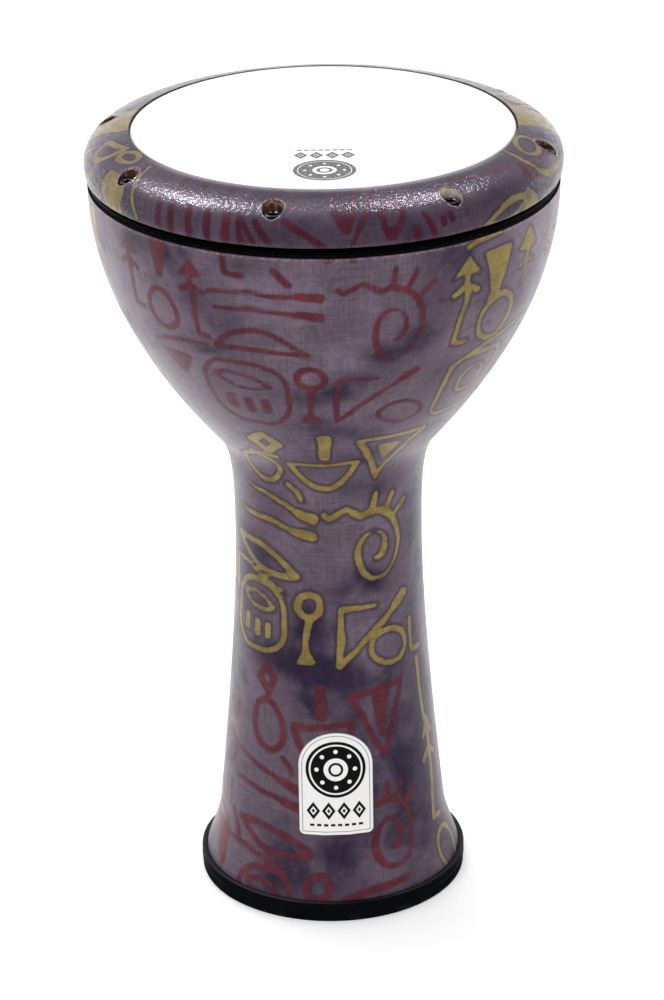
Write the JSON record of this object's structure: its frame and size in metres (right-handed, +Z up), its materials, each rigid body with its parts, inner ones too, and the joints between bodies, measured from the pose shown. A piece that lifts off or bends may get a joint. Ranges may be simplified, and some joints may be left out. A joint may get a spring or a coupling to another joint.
{
  "type": "goblet hand drum",
  "caption": "Goblet-shaped hand drum (darbuka) with a white film head under a rounded tuning ring drawn down by recessed hex-socket bolts, printed fabric skin and a rubber foot ring.",
  "frame": {"origin": "centre of the foot ring's resting face, on the drum's axis", "axes": "+Z up along the drum's axis, towards the head; -Y is the side that carries the badge"},
  "size_m": [0.2632, 0.2632, 0.457],
  "materials": {
    "shell_composite": "bare moulded resin composite",
    "printed_skin": "printed cotton under satin lacquer",
    "black_moulding": "fine matte",
    "head_film": "fine coated satin",
    "hoop_aluminium": "rolled mill finish",
    "ring_composite": "bare moulded resin composite",
    "foot_rubber": "moulded satin rubber",
    "badge_plate": "gloss with black print",
    "bolt_steel": "black oxide, lightly oiled",
    "washer_steel": "zinc plated",
    "insert_brass": "turned"
  },
  "bodies": {
    "drum_body": {"shell": "shell_composite", "shell_wrap": "printed_skin", "bearing_rim": "black_moulding", "drumhead": "head_film", "foot_ring": "foot_rubber", "badge": "badge_plate", "thread_insert_1": "insert_brass", "thread_insert_2": "insert_brass", "thread_insert_3": "insert_brass", "thread_insert_4": "insert_brass", "thread_insert_5": "insert_brass", "thread_insert_6": "insert_brass", "thread_insert_7": "insert_brass", "thread_insert_8": "insert_brass"},
    "ring_assembly": {"tuning_ring": "ring_composite", "ring_wrap": "printed_skin", "flesh_hoop": "hoop_aluminium", "bolt_washer_1": "washer_steel", "bolt_washer_2": "washer_steel", "bolt_washer_3": "washer_steel", "bolt_washer_4": "washer_steel", "bolt_washer_5": "washer_steel", "bolt_washer_6": "washer_steel", "bolt_washer_7": "washer_steel", "bolt_washer_8": "washer_steel"},
    "bolt_1": {"tuning_bolt_1": "bolt_steel"},
    "bolt_2": {"tuning_bolt_2": "bolt_steel"},
    "bolt_3": {"tuning_bolt_3": "bolt_steel"},
    "bolt_4": {"tuning_bolt_4": "bolt_steel"},
    "bolt_5": {"tuning_bolt_5": "bolt_steel"},
    "bolt_6": {"tuning_bolt_6": "bolt_steel"},
    "bolt_7": {"tuning_bolt_7": "bolt_steel"},
    "bolt_8": {"tuning_bolt_8": "bolt_steel"}
  },
  "joints": [
    {"name": "ring_travel", "type": "slide", "parent": "drum_body", "child": "ring_assembly", "axis": [0, 0, 1], "range_m": [-0.002, 0.004]},
    {"name": "bolt_1_turn", "type": "hinge", "parent": "ring_assembly", "child": "bolt_1", "pos_m": [-0.02662, -0.12008, 0.4486], "axis": [0, 0, 1], "range_deg": [-720.5, 1440.5]},
    {"name": "bolt_2_turn", "type": "hinge", "parent": "ring_assembly", "child": "bolt_2", "pos_m": [0.06609, -0.10374, 0.4486], "axis": [0, 0, 1], "range_deg": [-720.5, 1440.5]},
    {"name": "bolt_3_turn", "type": "hinge", "parent": "ring_assembly", "child": "bolt_3", "pos_m": [0.12008, -0.02662, 0.4486], "axis": [0, 0, 1], "range_deg": [-720.5, 1440.5]},
    {"name": "bolt_4_turn", "type": "hinge", "parent": "ring_assembly", "child": "bolt_4", "pos_m": [0.10374, 0.06609, 0.4486], "axis": [0, 0, 1], "range_deg": [-720.5, 1440.5]},
    {"name": "bolt_5_turn", "type": "hinge", "parent": "ring_assembly", "child": "bolt_5", "pos_m": [0.02662, 0.12008, 0.4486], "axis": [0, 0, 1], "range_deg": [-720.5, 1440.5]},
    {"name": "bolt_6_turn", "type": "hinge", "parent": "ring_assembly", "child": "bolt_6", "pos_m": [-0.06609, 0.10374, 0.4486], "axis": [0, 0, 1], "range_deg": [-720.5, 1440.5]},
    {"name": "bolt_7_turn", "type": "hinge", "parent": "ring_assembly", "child": "bolt_7", "pos_m": [-0.12008, 0.02662, 0.4486], "axis": [0, 0, 1], "range_deg": [-720.5, 1440.5]},
    {"name": "bolt_8_turn", "type": "hinge", "parent": "ring_assembly", "child": "bolt_8", "pos_m": [-0.10374, -0.06609, 0.4486], "axis": [0, 0, 1], "range_deg": [-720.5, 1440.5]}
  ],
  "couplings": [
    {"joint": "bolt_1_turn", "follows": "ring_travel", "rad_per_m": 6283.2},
    {"joint": "bolt_2_turn", "follows": "ring_travel", "rad_per_m": 6283.2},
    {"joint": "bolt_3_turn", "follows": "ring_travel", "rad_per_m": 6283.2},
    {"joint": "bolt_4_turn", "follows": "ring_travel", "rad_per_m": 6283.2},
    {"joint": "bolt_5_turn", "follows": "ring_travel", "rad_per_m": 6283.2},
    {"joint": "bolt_6_turn", "follows": "ring_travel", "rad_per_m": 6283.2},
    {"joint": "bolt_7_turn", "follows": "ring_travel", "rad_per_m": 6283.2},
    {"joint": "bolt_8_turn", "follows": "ring_travel", "rad_per_m": 6283.2}
  ]
}
